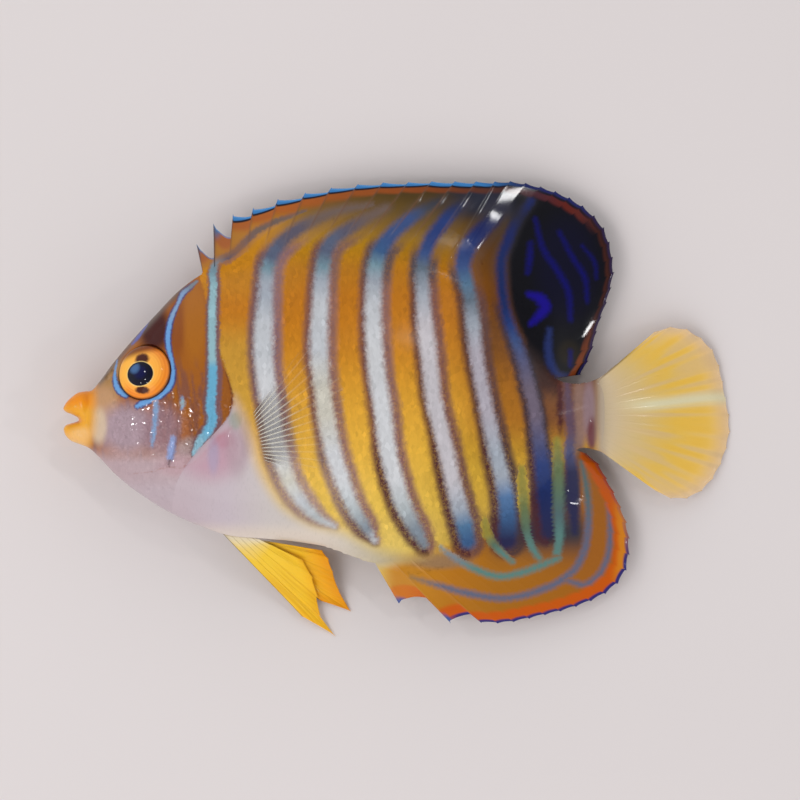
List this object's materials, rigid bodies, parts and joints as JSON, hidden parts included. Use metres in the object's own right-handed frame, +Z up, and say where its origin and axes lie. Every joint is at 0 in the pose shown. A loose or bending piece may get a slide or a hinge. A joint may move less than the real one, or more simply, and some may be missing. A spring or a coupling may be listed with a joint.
{
  "type": "regal angelfish",
  "caption": "Regal angelfish, a still life-size model of a deep flat reef fish lying on its right side with its fins spread.",
  "frame": {"origin": "on the surface that the fish lies on, under the middle of its bounding box", "axes": "+X towards the tail, +Y towards the back with the dorsal fin, +Z up, out of the left flank"},
  "size_m": [0.095, 0.065, 0.015],
  "materials": {
    "skin": "wet scaly skin, banded orange, maroon, white and blue",
    "lip": "wet smooth skin, orange-yellow",
    "eye": "clear cornea over an orange iris and a black pupil",
    "dark_fin": "wet finned skin, olive and orange bands in front, blue-black behind",
    "orange_fin": "wet finned skin, orange-brown with blue lines",
    "yellow_fin": "thin translucent yellow membrane with rays",
    "clear_fin": "thin clear membrane with pale rays"
  },
  "bodies": {
    "root": {"head": "skin", "upper_jaw": "lip", "lower_jaw": "lip", "eye_left": "eye", "eye_right": "eye", "torso": "skin", "tail_stalk": "skin", "dorsal_fin": "dark_fin", "anal_fin": "orange_fin", "caudal_fin": "yellow_fin", "pectoral_fin_left": "clear_fin", "pectoral_fin_right": "clear_fin", "pelvic_fin_left": "yellow_fin", "pelvic_fin_right": "yellow_fin"}
  },
  "joints": []
}
